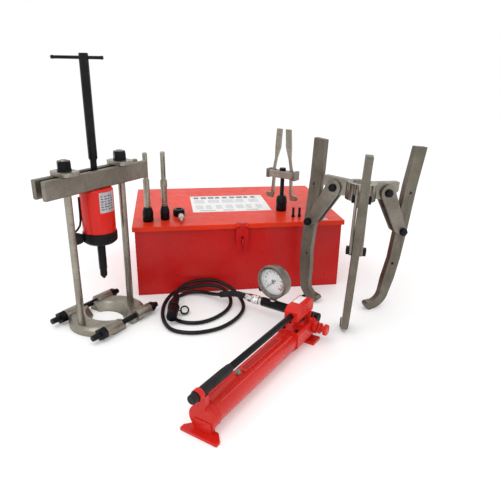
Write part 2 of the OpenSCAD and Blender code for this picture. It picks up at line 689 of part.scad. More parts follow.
case_tub();
case_staple();
case_hinge();
case_lid();
hasp_strap();
beam_front();
beam_rear();
saddle_left();
saddle_right();
leg_left();
leg_right();
leg_nut_left();
leg_nut_right();
splitter_left();
splitter_right();
stud_front();
stud_rear();
ram_cylinder();
ram_collar();
ram_coupler();
ram_plunger();
screw_tip();
drive_screw();
t_bar();
jaw_head();
strap_1();
strap_2();
strap_3();
jaw_1();
jaw_2();
jaw_3();
pump_tank();
rear_foot();
pump_head();
lever_block();
handle_tube();
handle_grip();
grip_ring();
pump_plunger();
release_valve();
vent_screw();
gauge_adapter();
gauge_case();
gauge_needle();
gauge_lens();
hose_coupler();
hose();
hose_end();
rod_a();
socket_a();
rod_b();
socket_b();
adapter_nut();
hose_fitting();
cup_bar();
cup_leg_left();
cup_leg_right();
cup_screw();
step_pins();
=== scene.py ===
"""Hydraulic gear puller kit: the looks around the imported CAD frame."""

import json
from math import atan2, cos, pi, radians, sin

import bmesh
import bpy
from mathutils import Matrix, Vector, geometry


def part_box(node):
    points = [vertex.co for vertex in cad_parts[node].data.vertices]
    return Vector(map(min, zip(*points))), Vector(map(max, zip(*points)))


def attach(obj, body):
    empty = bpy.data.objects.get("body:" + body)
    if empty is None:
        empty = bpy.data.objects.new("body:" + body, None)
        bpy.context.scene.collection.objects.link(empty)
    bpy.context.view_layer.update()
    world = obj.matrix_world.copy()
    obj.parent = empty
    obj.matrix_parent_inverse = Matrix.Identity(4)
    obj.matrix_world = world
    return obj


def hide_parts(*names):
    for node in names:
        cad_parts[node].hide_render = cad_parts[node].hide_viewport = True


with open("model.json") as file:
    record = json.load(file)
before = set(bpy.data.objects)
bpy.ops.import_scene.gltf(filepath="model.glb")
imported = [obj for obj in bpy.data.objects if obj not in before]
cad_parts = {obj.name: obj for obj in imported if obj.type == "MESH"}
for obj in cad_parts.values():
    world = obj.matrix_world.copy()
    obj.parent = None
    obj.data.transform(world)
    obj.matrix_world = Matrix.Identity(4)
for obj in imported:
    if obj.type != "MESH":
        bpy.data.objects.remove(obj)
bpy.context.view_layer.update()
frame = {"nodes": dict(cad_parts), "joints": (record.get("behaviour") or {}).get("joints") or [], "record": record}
JOINTS = {j["name"]: j for j in frame["joints"]}
MOUNTS = {m["name"]: m for m in frame["record"]["mounts"]}

# ---- Driving dimensions in millimetres, as the part has them ----
CASE_W, CASE_D, LID_OVER = 750, 529, 9.0
RAM_R, COLLAR_R = 50, 52
STUD_V, STUD_Z = 93, 23
T_BAR_Z, T_BAR_TURN, T_BAR_SHIFT = 808, -57.6, -18
HEAD_BOLT, JAW_BOLT = (91, 424), (172, 289)
PIVOT_U, PIVOT_Z = 520, 92
TANK_V, TANK_Z, TANK_R = 5, 40, 34
HANDLE_Z, BLOCK_TOP = 118, 143
PLUNGER_U = 488
VALVE_U, VALVE_Z = 528, 50
ADAPTER_U, ADAPTER_Z, GAUGE_V = 564, 62, 133
ROD_A_AT, ROD_B_AT, CUP_AT, CUP_TURN = (46, 62), (106, 78), (554, 147), -45
NUT_AT, FITTING_AT, PIN_XS, PIN_Y = (157, 122), (163, 62), (579, 603), 56
CUP_BAR_HALF, CUP_BAR_Z = 57, 143

# ---- Places, worked out from the frame. Local frames are in millimetres ----
MILLIMETRES = Matrix.Scale(0.001, 4)
# How far the tub's foot rim stands out past its walls, in metres
FOOT_RIM = 0.0015


def local_frame(origin, heading):
    """Matrix from millimetres in a local frame, turned about Z, to the frame's metres."""
    return Matrix.Translation(origin) @ Matrix.Rotation(heading, 4, "Z") @ MILLIMETRES


def moved(x=0.0, y=0.0, z=0.0):
    return Matrix.Translation((x, y, z))


def turned(degrees, axis):
    return Matrix.Rotation(radians(degrees), 4, axis)


ALONG_X = turned(90, "Y")
ALONG_Y = turned(-90, "X")
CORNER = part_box("case_tub")[0] + Vector((FOOT_RIM, FOOT_RIM, 0))
LID_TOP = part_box("case_lid")[1].z
CASE = local_frame(CORNER, 0)
LID = local_frame((CORNER.x, CORNER.y, LID_TOP), 0)


def centre_of(node):
    low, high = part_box(node)
    return (low + high) / 2


def puller_frame():
    axis = JOINTS["left_leg_slide"]["axis"]
    centre = centre_of("drive_screw")
    return local_frame((centre.x, centre.y, 0), atan2(axis[1], axis[0]))


def jaw_frame(k):
    """X outwards along one jaw, Y along its bolts, Z up the puller's own axis."""
    swing = JOINTS[f"strap_{k}_swing"]
    across = -Vector(swing["axis"])
    up = Vector(MOUNTS["head_bore"]["axis"])
    along = across.cross(up)
    origin = Vector(swing["pos_m"]) - along * HEAD_BOLT[0] * 0.001 - up * HEAD_BOLT[1] * 0.001
    turn = Matrix((along, across, up)).transposed().to_4x4()
    return Matrix.Translation(origin) @ turn @ MILLIMETRES


def pump_frame():
    joint = JOINTS["lever_swing"]
    heading = atan2(-joint["axis"][0], joint["axis"][1])
    along = Vector((cos(heading), sin(heading), 0))
    origin = Vector(joint["pos_m"]) - along * PIVOT_U * 0.001
    return local_frame((origin.x, origin.y, 0), heading)


def facing_frame(at, normal):
    """Local frame whose Z is the normal and whose Y is up."""
    out = Vector(normal).normalized()
    up = Vector((0, 0, 1))
    right = up.cross(out).normalized()
    up = out.cross(right)
    turn = Matrix((right, up, out)).transposed().to_4x4()
    return Matrix.Translation(at) @ turn @ MILLIMETRES


FRAME = puller_frame()
PUMP = pump_frame()
SWEEP = JOINTS["needle_sweep"]
GAUGE = facing_frame(SWEEP["pos_m"], -Vector(SWEEP["axis"]))


# ---- Camera ----
CAMERA_AT = (-0.2250, -1.5602, 0.8100)
CAMERA_YAW, CAMERA_DOWN, CAMERA_ROLL = 9.951, 20.834, 1.066


def make_camera():
    """At the photograph's viewing angle."""
    yaw, down, roll = radians(CAMERA_YAW), radians(CAMERA_DOWN), radians(CAMERA_ROLL)
    look = Vector((sin(yaw) * cos(down), cos(yaw) * cos(down), -sin(down)))
    right = Vector((cos(yaw), -sin(yaw), 0))
    up = right.cross(look)
    tilted_right = right * cos(roll) + up * sin(roll)
    tilted_up = up * cos(roll) - right * sin(roll)
    turn = Matrix((tilted_right, tilted_up, -look)).transposed().to_4x4()
    data = bpy.data.cameras.new("camera")
    data.lens = 36
    data.sensor_width = 36
    data.clip_end = 100
    camera = bpy.data.objects.new("camera", data)
    camera.matrix_world = Matrix.Translation(CAMERA_AT) @ turn
    bpy.context.scene.collection.objects.link(camera)
    bpy.context.scene.camera = camera


make_camera()


# ---- Materials ----
class Nodes:
    """Short hand for building one material's node tree."""

    def __init__(self, name):
        self.material = bpy.data.materials.new(name)
        self.material.use_nodes = True
        self.tree = self.material.node_tree
        self.shader = self.tree.nodes["Principled BSDF"]
        self.place = self.tree.nodes.new("ShaderNodeTexCoord").outputs["Object"]

    def node(self, kind, **values):
        made = self.tree.nodes.new("ShaderNode" + kind)
        for key, value in values.items():
            made.inputs[key].default_value = value
        return made

    def link(self, a, b):
        self.tree.links.new(a, b)

    def noise(self, scale, detail=3.0, stretch=None, rough=0.55):
        made = self.node("TexNoise", Scale=scale, Detail=detail, Roughness=rough)
        place = self.place
        if stretch:
            mapping = self.node("Mapping", Scale=stretch)
            self.link(place, mapping.inputs["Vector"])
            place = mapping.outputs["Vector"]
        self.link(place, made.inputs["Vector"])
        return made.outputs["Fac"]

    def spread(self, value, low, high, start=0.3, end=0.7):
        """Maps the middle of a noise to the range low to high."""
        made = self.tree.nodes.new("ShaderNodeMapRange")
        self.link(value, made.inputs["Value"])
        for key, number in zip(("From Min", "From Max", "To Min", "To Max"), (start, end, low, high)):
            made.inputs[key].default_value = number
        return made.outputs["Result"]

    def mix(self, factor, a, b):
        """Mixes two colours, each a tuple or a socket."""
        made = self.tree.nodes.new("ShaderNodeMix")
        made.data_type = "RGBA"
        self.link(factor, made.inputs["Factor"])
        for colour, socket in ((a, made.inputs[6]), (b, made.inputs[7])):
            if isinstance(colour, tuple):
                socket.default_value = (*colour, 1)
            else:
                self.link(colour, socket)
        return made.outputs[2]

    def bump(self, *layers):
        """Stacks (height, distance in metres) layers into one normal."""
        normal = None
        for height, distance in layers:
            made = self.node("Bump", Strength=1.0, Distance=distance)
            self.link(height, made.inputs["Height"])
            if normal:
                self.link(normal, made.inputs["Normal"])
            normal = made.outputs["Normal"]
        self.link(normal, self.shader.inputs["Normal"])

    def finish(self, colour, rough, **constants):
        self.link(colour, self.shader.inputs["Base Color"])
        self.link(rough, self.shader.inputs["Roughness"])
        for key, value in constants.items():
            self.shader.inputs[key.replace("_", " ")].default_value = value
        return self.material


def times(colour, factor):
    return tuple(min(1.0, c * factor) for c in colour)


def paint(name, colour, wave=0.0, rough=0.26, gloss=0.22):
    """Sprayed enamel: slight shade drift, fine orange peel, and sheet waviness where asked."""
    n = Nodes(name)
    drift = n.mix(n.spread(n.noise(4, 4), 0, 1), times(colour, 0.82), times(colour, 1.06))
    dust = n.mix(n.spread(n.noise(70, 4), 0, 0.10, 0.58, 0.85), drift, times(colour, 0.6))
    peel = [(n.noise(300, 2), 0.0001)]
    if wave:
        peel.insert(0, (n.noise(7, 1), wave))
    n.bump(*peel)
    return n.finish(dust, n.spread(n.noise(30, 4), rough - 0.06, rough + 0.1),
                    Metallic=0.0, Specular_IOR_Level=gloss, Coat_Weight=0.06, Coat_Roughness=0.1)


def steel(name, colour, dark, rough=0.34, grain=(1, 1, 1), metallic=0.85, mottle=14.0,
          tooth=0.00015, gloss=0.5):
    """Bare steel: mottled between two tones, with a stretched grain and small dents."""
    n = Nodes(name)
    tone = n.mix(n.spread(n.noise(mottle, 6), 0, 1, 0.32, 0.68), dark, colour)
    fleck = n.mix(n.spread(n.noise(mottle * 9, 3), 0, 0.5, 0.5, 0.8), tone, times(dark, 0.6))
    n.bump((n.noise(mottle * 3, 3), tooth * 3), (n.noise(420, 3, grain), tooth))
    return n.finish(fleck, n.spread(n.noise(60, 4, grain), rough - 0.08, rough + 0.12),
                    Metallic=metallic, Specular_IOR_Level=gloss)


def rubber(name, colour, rough=0.5, scale=500):
    n = Nodes(name)
    tone = n.mix(n.spread(n.noise(25, 4), 0, 1), times(colour, 0.7), times(colour, 1.5))
    n.bump((n.noise(scale, 2), 0.0002))
    return n.finish(tone, n.spread(n.noise(40, 3), rough - 0.08, rough + 0.1),
                    Metallic=0.0, Specular_IOR_Level=0.22)


def print_on(name, colour, rough=0.4):
    """Printed film or dial: even colour with a faint mottle."""
    n = Nodes(name)
    tone = n.mix(n.spread(n.noise(60, 3), 0, 1), times(colour, 0.95), colour)
    return n.finish(tone, n.spread(n.noise(90, 2), rough - 0.05, rough + 0.05), Metallic=0.0)


def glass(name):
    n = Nodes(name)
    tone = n.mix(n.spread(n.noise(20, 2), 0, 1), (0.9, 0.95, 0.95), (0.97, 1, 1))
    n.shader.inputs["Alpha"].default_value = 0.12
    return n.finish(tone, n.spread(n.noise(50, 2), 0.02, 0.06), Metallic=0.0)


CASE_RED = paint("case_red", (0.54, 0.010, 0.009), wave=0.005, rough=0.28)
LID_RED = paint("lid_red", (0.76, 0.034, 0.008), wave=0.002, rough=0.34, gloss=0.12)
PUMP_RED = paint("pump_red", (0.63, 0.014, 0.008))
DARK_RED = paint("dark_red", (0.30, 0.008, 0.008), rough=0.4)
# Lighter red than the pump's own paint, used only on the tank's ridges: a painted highlight streak.
HIGHLIGHT_RED = paint("ridge_highlight_red", (0.78, 0.09, 0.08), rough=0.4)
FORGED = steel("forged_steel", (0.20, 0.178, 0.142), (0.125, 0.108, 0.084), 0.42, (1, 1, 0.1))
BEAM = steel("beam_steel", (0.26, 0.235, 0.195), (0.16, 0.142, 0.115), 0.38, (1, 1, 0.15), mottle=10)
PLATE = steel("plate_steel", (0.40, 0.37, 0.32), (0.25, 0.226, 0.19), 0.34, (0.3, 1, 1))
HEAD_STEEL = steel("head_steel", (0.33, 0.30, 0.25), (0.21, 0.188, 0.155), 0.36)
STRAP = steel("strap_steel", (0.26, 0.236, 0.20), (0.17, 0.152, 0.125), 0.36, (1, 1, 0.3))
TURNED = steel("turned_steel", (0.34, 0.31, 0.26), (0.22, 0.198, 0.164), 0.3, (0.2, 0.2, 3),
               mottle=9, tooth=0.00004)
BRIGHT = steel("bright_plate", (0.70, 0.69, 0.67), (0.52, 0.505, 0.48), 0.2, metallic=1.0, tooth=0.00004)
GAUGE_STEEL = steel("gauge_metal", (0.27, 0.245, 0.21), (0.18, 0.162, 0.138), 0.34, mottle=18)
BLACK = steel("black_oxide", (0.015, 0.015, 0.017), (0.007, 0.007, 0.008), 0.32, metallic=0.6, gloss=0.2)
RUBBER = rubber("black_rubber", (0.009, 0.009, 0.010))
HOSE_RUBBER = rubber("hose_rubber", (0.007, 0.007, 0.008), 0.34, 900)
DIAL_WHITE = print_on("dial_white", (0.80, 0.81, 0.83))
DIAL_RED = print_on("dial_red", (0.66, 0.05, 0.07))
INK = print_on("ink", (0.03, 0.03, 0.035))
TITLE_INK = print_on("title_ink", (0.16, 0.15, 0.20))
PALE_INK = print_on("pale_ink", (0.42, 0.44, 0.48))
LABEL = print_on("label_film", (0.82, 0.81, 0.80), 0.3)
NAMEPLATE = steel("nameplate", (0.50, 0.51, 0.53), (0.38, 0.39, 0.41), 0.35, metallic=0.5, mottle=40)
LENS = glass("lens")


# ---- Mesh helpers ----
TAU = 2 * pi


def polar(bm, stations, at, steps=48, ring=False):
    """Skin over rings; each station is (z, radius), the radius a number or a function of the angle."""
    rings = []
    for z, radius in stations:
        angles = [TAU * k / steps for k in range(steps)]
        radii = [radius(a) if callable(radius) else radius for a in angles]
        rings.append([bm.verts.new(at @ Vector((r * cos(a), r * sin(a), z))) for a, r in zip(angles, radii)])
    pairs = list(zip(rings, rings[1:]))
    if ring:
        pairs.append((rings[-1], rings[0]))
    for lower, upper in pairs:
        for k in range(steps):
            m = (k + 1) % steps
            bm.faces.new((lower[k], lower[m], upper[m], upper[k]))
    if not ring:
        bm.faces.new(rings[0][::-1])
        bm.faces.new(rings[-1])


def hexagon(flats, limit=1e9):
    """Radius of a hexagon by angle, cut to a circle at its corners."""
    def radius(a):
        return min(flats / 2 / cos((a % (pi / 3)) - pi / 6), limit)
    return radius


def nut(bm, flats, z0, z1, at, bore=0.0):
    """Hexagon nut or bolt head with chamfered corners on both faces."""
    full = flats / 2 / cos(pi / 6)
    chamfer = (full - flats / 2) * 0.6
    face = hexagon(flats, flats / 2 * 0.97)
    slope = hexagon(flats, (full + flats / 2) / 2)
    side = hexagon(flats)
    stations = [(z0, face), (z0 + chamfer * 0.5, slope), (z0 + chamfer, side),
                (z1 - chamfer, side), (z1 - chamfer * 0.5, slope), (z1, face)]
    if bore:
        stations += [(z1, bore), (z0, bore)]
    polar(bm, stations, at, 72, ring=bool(bore))


def fluted(radius, count, depth):
    """Radius with straight flutes, as on a knurled grip."""
    def at_angle(a):
        return radius - depth * (0.5 - 0.5 * cos(count * a)) ** 0.6
    return at_angle


def thread(bm, radius, depth, pitch, z0, z1, at, steps=28):
    """Screw thread as one helical strip with a solid core inside it."""
    turns = (z1 - z0 - pitch) / pitch
    total = int(turns * steps)
    crest, root = [], []
    for k in range(total + steps + 1):
        a = TAU * k / steps
        z = min(z0 + pitch * k / steps, z1)
        out = Vector((cos(a), sin(a), 0))
        inner = min(1.0, max(0.0, min(k, total + steps - k) / steps))
        crest.append(bm.verts.new(at @ (out * (radius - depth * (1 - inner)) + Vector((0, 0, z)))))
        root.append(bm.verts.new(at @ (out * (radius - depth) + Vector((0, 0, min(z + pitch / 2, z1))))))
    for k in range(total + steps):
        bm.faces.new((crest[k], crest[k + 1], root[k + 1], root[k]))
        if k + 1 + steps < len(crest):
            bm.faces.new((root[k], root[k + 1], crest[k + 1 + steps], crest[k + steps]))
    polar(bm, [(z0, radius - depth * 1.05), (z1, radius - depth * 1.05)], at, steps)


def prism(bm, outline, z0, z1, at):
    """Outline, a list of (x, y), drawn up from z0 to z1."""
    low = [bm.verts.new(at @ Vector((x, y, z0))) for x, y in outline]
    high = [bm.verts.new(at @ Vector((x, y, z1))) for x, y in outline]
    n = len(outline)
    for k in range(n):
        m = (k + 1) % n
        bm.faces.new((low[k], low[m], high[m], high[k]))
    bm.faces.new(low[::-1])
    bm.faces.new(high)


def box(bm, low, high, at):
    outline = [(low[0], low[1]), (high[0], low[1]), (high[0], high[1]), (low[0], high[1])]
    prism(bm, outline, low[2], high[2], at)


def sweep(bm, points, radius, steps=12, flat=1.0, closed=False):
    """Round or flattened tube along points given in the piece's space; radius may be a list."""
    count = len(points)
    radii = radius if isinstance(radius, list) else [radius] * count
    side = None
    rings = []
    for i, point in enumerate(points):
        after = points[(i + 1) % count] if closed else points[min(i + 1, count - 1)]
        before = points[i - 1] if closed else points[max(i - 1, 0)]
        ahead = (after - before).normalized()
        if side is None:
            level = ahead.cross(Vector((0, 0, 1)))
            side = ahead.orthogonal() if abs(ahead.z) > 0.9 else level
        side = (side - ahead * side.dot(ahead)).normalized()
        up = ahead.cross(side)
        rings.append([bm.verts.new(point + side * cos(TAU * k / steps) * radii[i]
                                   + up * sin(TAU * k / steps) * radii[i] * flat) for k in range(steps)])
    pairs = list(zip(rings, rings[1:]))
    if closed:
        pairs.append((rings[-1], rings[0]))
    for lower, upper in pairs:
        for k in range(steps):
            m = (k + 1) % steps
            bm.faces.new((lower[k], lower[m], upper[m], upper[k]))
    if not closed:
        bm.faces.new(rings[0][::-1])
        bm.faces.new(rings[-1])


def round_edges(bm, width, segments=2, angle=30):
    sharp = [e for e in bm.edges if len(e.link_faces) == 2 and e.calc_face_angle(0) > radians(angle)]
    bmesh.ops.bevel(bm, geom=sharp, offset=width, segments=segments, profile=0.6, affect="EDGES",
                    clamp_overlap=True)


def add_piece(name, body, material, build, bevel=0.0, smooth=40):
    """Runs build on a new mesh and lets the piece ride on its body."""
    bm = bmesh.new()
    build(bm)
    bmesh.ops.recalc_face_normals(bm, faces=bm.faces)
    if bevel:
        round_edges(bm, bevel)
    mesh = bpy.data.meshes.new(name)
    bm.to_mesh(mesh)
    bm.free()
    mesh.shade_smooth()
    mesh.set_sharp_from_angle(angle=radians(smooth))
    mesh.materials.append(material)
    piece = bpy.data.objects.new(name, mesh)
    bpy.context.scene.collection.objects.link(piece)
    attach(piece, body)
    return piece


def dress(nodes, material, bevel=0.8, segments=2, angle=32):
    """Gives CAD nodes their material and rounds their edges."""
    for name in nodes:
        node = frame["nodes"][name]
        node.data.materials.clear()
        node.data.materials.append(material)
        if bevel:
            weld = node.modifiers.new("weld", "WELD")
            weld.merge_threshold = 1e-6
            edge = node.modifiers.new("edge", "BEVEL")
            edge.width = bevel * 0.001
            edge.segments = segments
            edge.limit_method = "ANGLE"
            edge.angle_limit = radians(angle)
            edge.harden_normals = True


# ---- Hose ----
HOSE_D = 0.013
HOSE_ROUTE = [(0.373, -0.193, 0.062), (0.336, -0.160, 0.061), (0.310, -0.134, 0.050), (0.284, -0.102, 0.034),
              (0.258, -0.064, 0.020), (0.226, -0.034, 0.014), (0.188, -0.024, 0.011), (0.152, -0.035, 0.007),
              (0.122, -0.066, 0.007), (0.109, -0.112, 0.007), (0.108, -0.164, 0.007), (0.125, -0.212, 0.007),
              (0.160, -0.240, 0.007), (0.208, -0.244, 0.007), (0.256, -0.220, 0.007), (0.300, -0.172, 0.007),
              (0.322, -0.116, 0.009), (0.316, -0.066, 0.022), (0.284, -0.030, 0.032), (0.236, -0.018, 0.034),
              (0.180, -0.022, 0.028), (0.128, -0.043, 0.024), (0.095, -0.092, 0.012), (0.084, -0.160, 0.007),
              (0.092, -0.236, 0.007), (0.122, -0.288, 0.007), (0.188, -0.308, 0.007), (0.262, -0.290, 0.007),
              (0.322, -0.238, 0.007), (0.358, -0.170, 0.007), (0.360, -0.104, 0.012), (0.332, -0.048, 0.030),
              (0.286, -0.018, 0.047), (0.236, -0.012, 0.052), (0.190, -0.018, 0.049), (0.156, -0.038, 0.043),
              (0.139, -0.064, 0.038), (0.134, -0.092, 0.036)]


def smooth_route(points, parts=8):
    """Catmull-Rom curve through the points, as part.scad draws it."""
    found = []
    for i in range(len(points) - 1):
        p = [points[max(0, min(i + k, len(points) - 1))] for k in (-1, 0, 1, 2)]
        for step in range(parts):
            t = step / parts
            square = 2 * p[0] - 5 * p[1] + 4 * p[2] - p[3]
            cube = 3 * p[1] - p[0] - 3 * p[2] + p[3]
            found.append(0.5 * (2 * p[1] + (p[2] - p[0]) * t + square * t * t + cube * t ** 3))
    return found + [points[-1]]


HOSE_LINE = smooth_route([Vector(p) + CORNER for p in HOSE_ROUTE])


def line_length(points):
    return sum((b - a).length for a, b in zip(points, points[1:]))


def along_line(points, distance):
    """Point at a distance along a line of points."""
    for a, b in zip(points, points[1:]):
        step = (b - a).length
        if distance <= step:
            return a.lerp(b, distance / step)
        distance -= step
    return points[-1]


def ribbed_sleeve(bm, start, end, low, high, pitch):
    """Sleeve of round ribs over the hose, from start to end along it, in metres."""
    count = int((end - start) / pitch * 6)
    points = [along_line(HOSE_LINE, start + (end - start) * k / count) for k in range(count + 1)]
    radii = [low + (high - low) * (0.5 - 0.5 * cos(TAU * k / 6)) for k in range(count + 1)]
    sweep(bm, points, radii, 20)


def make_hose():
    curve = bpy.data.curves.new("hose_line", "CURVE")
    curve.dimensions = "3D"
    curve.bevel_depth = HOSE_D / 2
    curve.bevel_resolution = 5
    curve.use_fill_caps = True
    spline = curve.splines.new("POLY")
    spline.points.add(len(HOSE_LINE) - 1)
    for point, place in zip(spline.points, HOSE_LINE):
        point.co = (*place, 1)
    spline.use_smooth = True
    curve.materials.append(HOSE_RUBBER)
    hose = bpy.data.objects.new("hose_cover", curve)
    bpy.context.scene.collection.objects.link(hose)
    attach(hose, "pump")
    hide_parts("hose")
    return hose


HOSE = make_hose()


# ---- CAD nodes that keep their shape: finish and rounded edges ----
def dress_all():
    dress(["case_tub", "case_staple", "case_hinge", "hasp_strap"], CASE_RED, 1.0)
    dress(["case_lid"], LID_RED, 1.5)
    dress(["beam_front", "beam_rear"], BEAM, 1.0)
    dress(["saddle_left", "saddle_right", "cup_bar"], PLATE, 1.2)
    dress(["jaw_head", "splitter_left", "splitter_right"], HEAD_STEEL, 1.6, 3)
    dress(["leg_left", "leg_right", "ram_plunger", "rod_a", "rod_b", "pump_plunger"], TURNED)
    dress(["cup_leg_left", "cup_leg_right"], TURNED)
    dress(["jaw_1", "jaw_2", "jaw_3"], FORGED, 1.4, 3)
    dress(["ram_cylinder", "pump_tank", "rear_foot", "grip_ring", "release_valve"], PUMP_RED, 1.5)
    dress(["pump_head", "lever_block"], PUMP_RED, 3.0, 4)
    dress(["leg_nut_left", "leg_nut_right", "stud_front", "stud_rear", "ram_collar", "screw_tip"], BLACK)
    dress(["drive_screw", "t_bar", "handle_tube", "gauge_adapter", "gauge_needle", "hose_end"], BLACK)
    dress(["socket_a", "socket_b", "adapter_nut", "cup_screw", "step_pins"], BLACK)
    dress(["ram_coupler", "handle_grip"], RUBBER)
    dress(["hose_coupler", "hose_fitting"], BRIGHT, 0.5)
    dress(["vent_screw"], STRAP, 0.5)
    dress(["gauge_case"], GAUGE_STEEL, 1.0)
    dress(["gauge_lens"], LENS, 0)


dress_all()


# ---- Case ----
def label_marks(bm, rows, at):
    """Rows of blank bars in place of lettering: (x, y, count, width, height, step)."""
    for x, y, count, width, height, step in rows:
        for k in range(count):
            short = width * (0.72 + 0.28 * ((k * 5 + count) % 4) / 3)
            box(bm, (x + k * step, y, 0.35), (x + k * step + short, y + height, 0.6), at)


def add_film(name, body, material, low, high, at):
    """Thin printed film between two corners."""
    add_piece(name, body, material, lambda bm: box(bm, low, high, at), 0.0002)


def case_details():
    add_film("lid_label", "lid", LABEL, (212, 152, 0.02), (517, 386, 0.4), LID)
    title = [(226, 344, 9, 24, 26, 30)]
    lines = [(226, 318 - 13 * k, 5, 50, 5, 56) for k in range(4)]
    table = [(226, 236 - 14 * k, 7, 30, 6, 40) for k in range(4)]
    foot = [(240, 164, 3, 60, 12, 90)]
    add_piece("label_title", "lid", TITLE_INK, lambda bm: label_marks(bm, title, LID))
    add_piece("label_print", "lid", PALE_INK, lambda bm: label_marks(bm, lines + table + foot, LID))
    add_film("lid_sticker", "lid", NAMEPLATE, (672, 6, 0.02), (700, 22, 0.4), LID)
    add_piece("hem_bead", "lid", LID_RED, hem_bead, smooth=60)
    add_piece("hasp_leaf", "lid", CASE_RED, hasp_leaf, 0.0004)
    add_piece("corner_seams", "case", CASE_RED, corner_seams, smooth=60)


def hasp_leaf(bm):
    """Fixed leaf of the hasp on the lid, with its two rivets."""
    box(bm, (354, -8.5, 0.02), (398, 9, 1.6), LID)
    for x in (364, 388):
        polar(bm, [(1.5, 3.2), (2.4, 2.9), (3.0, 1.6)], LID @ moved(x, 3, 0), 16)


def hem_bead(bm):
    """Rolled hem around the lower edge of the lid's skirt."""
    stands_out = LID_OVER - 1.2
    low, x1, y1 = -stands_out, CASE_W + stands_out, CASE_D + stands_out
    corners = [(low, low), (x1, low), (x1, y1), (low, y1)]
    for (xa, ya), (xb, yb) in zip(corners, corners[1:] + corners[:1]):
        shares = [k / 24 for k in range(25)]
        line = [CASE @ Vector((xa + (xb - xa) * t, ya + (yb - ya) * t, 246.6)) for t in shares]
        sweep(bm, line, 0.0012, 8)


def corner_seams(bm):
    """Weld seams up the four corners of the body."""
    for x in (0, CASE_W):
        for y in (0, CASE_D):
            line = [CASE @ Vector((x, y, 6 + 236 * k / 40)) for k in range(41)]
            radii = [0.0011 + 0.0003 * sin(k * 2.1) for k in range(41)]
            sweep(bm, line, radii, 8)


# ---- Frame puller ----
def curved_plate(bm, radius, thick, a0, a1, z0, z1, at, parts=14):
    grid = []
    for r in (radius, radius + thick):
        for z in (z0, z1):
            angles = [radians(a0 + (a1 - a0) * k / parts) for k in range(parts + 1)]
            grid.append([bm.verts.new(at @ Vector((r * cos(a), r * sin(a), z))) for a in angles])
    for a, b in ((0, 1), (1, 3), (3, 2), (2, 0)):
        for k in range(parts):
            bm.faces.new((grid[a][k], grid[a][k + 1], grid[b][k + 1], grid[b][k]))
    for k in (0, parts):
        bm.faces.new((grid[0][k], grid[1][k], grid[3][k], grid[2][k]))


def ram_print(bm):
    for row in range(6):
        z = 424 - 8 * row
        for k in range(4):
            a = 242 + 12.5 * k
            curved_plate(bm, RAM_R + 0.7, 0.25, a, a + 6 + (row + k) % 3 * 2, z, z + 3, FRAME, 3)


def rivets(bm):
    for a in (239.5, 294.5):
        for z in (379, 433):
            at = FRAME @ turned(a, "Z") @ moved(RAM_R + 0.4, 0, z) @ ALONG_X
            polar(bm, [(0, 1.8), (0.7, 1.6), (1.1, 0.8)], at, 12)


def ram_side_strip(bm):
    """Dark flattened strip from the coupler up along the ram's side."""
    path = [(76, 292), (77, 306), (66, 316), (57, 328), (53.5, 345), (52.5, 370), (52.2, 395), (52, 418)]
    turn = FRAME @ turned(147, "Z")
    sweep(bm, [turn @ Vector((r, 0, z)) for r, z in path], 0.0042, 12, 0.45)


def collar_rings(bm):
    edge = fluted(COLLAR_R + 0.7, 60, 0.7)
    foot, inside = COLLAR_R + 0.05, COLLAR_R - 4
    for z0, z1 in ((281, 291), (294, 303)):
        band = [(z0, foot), (z0 + 1, edge), (z1 - 1, edge), (z1, foot), (z1, inside), (z0, inside)]
        polar(bm, band, FRAME, 360, True)


def neck_thread(bm):
    thread(bm, 9.9, 0.8, 2.5, 499.5, 528, FRAME, 24)


def stud_threads(bm, side):
    line = FRAME @ moved(0, side * STUD_V, STUD_Z) @ ALONG_X
    for z0, z1 in ((-144, -118), (121, 132)):
        thread(bm, 9.45, 0.85, 3.0, z0, z1, line, 20)


def bar_ends(bm):
    bar = FRAME @ moved(0, 0, T_BAR_Z) @ turned(T_BAR_TURN, "Z") @ moved(T_BAR_SHIFT, 0, 0) @ ALONG_X
    for side in (-1, 1):
        ends = [(side * 71.8, 4.0), (side * 71, 4.9), (side * 69, 5.2), (side * 66, 5.2), (side * 65, 4.6)]
        polar(bm, ends, bar, 24)


def ram_details():
    add_piece("ram_plate", "frame_puller", NAMEPLATE,
              lambda bm: curved_plate(bm, RAM_R + 0.05, 0.6, 237, 297, 375, 437, FRAME))
    add_piece("ram_plate_print", "frame_puller", INK, ram_print)
    add_piece("ram_plate_rivets", "frame_puller", BRIGHT, rivets)
    add_piece("ram_dark_strip", "frame_puller", RUBBER, ram_side_strip)
    add_piece("collar_rings", "frame_puller", BLACK, collar_rings)
    add_piece("neck_thread", "crank", BLACK, neck_thread)
    add_piece("bar_ends", "crank_bar", BLACK, bar_ends)
    add_piece("stud_thread_front", "right_side", BLACK, lambda bm: stud_threads(bm, -1))
    add_piece("stud_thread_rear", "right_side", BLACK, lambda bm: stud_threads(bm, 1))


# ---- Three-jaw puller ----
def hull_of(circles, parts=24):
    """Outline around circles, each (x, y, radius)."""
    angles = [TAU * k / parts for k in range(parts)]
    points = [(x + r * cos(a), y + r * sin(a)) for x, y, r in circles for a in angles]
    return [points[i] for i in geometry.convex_hull_2d([Vector(p) for p in points])]


STRAP_NEAR, STRAP_FAR = 11.5, 19.5


def strap_plates(bm, k):
    x, z = JAW_BOLT
    outline = hull_of([(*HEAD_BOLT, 26), (x, z, 15), (x - 20, z + 12, 15)])
    upright = jaw_frame(k) @ turned(90, "X")
    prism(bm, outline, STRAP_NEAR, STRAP_FAR, upright)
    prism(bm, outline, -STRAP_FAR, -STRAP_NEAR, upright)


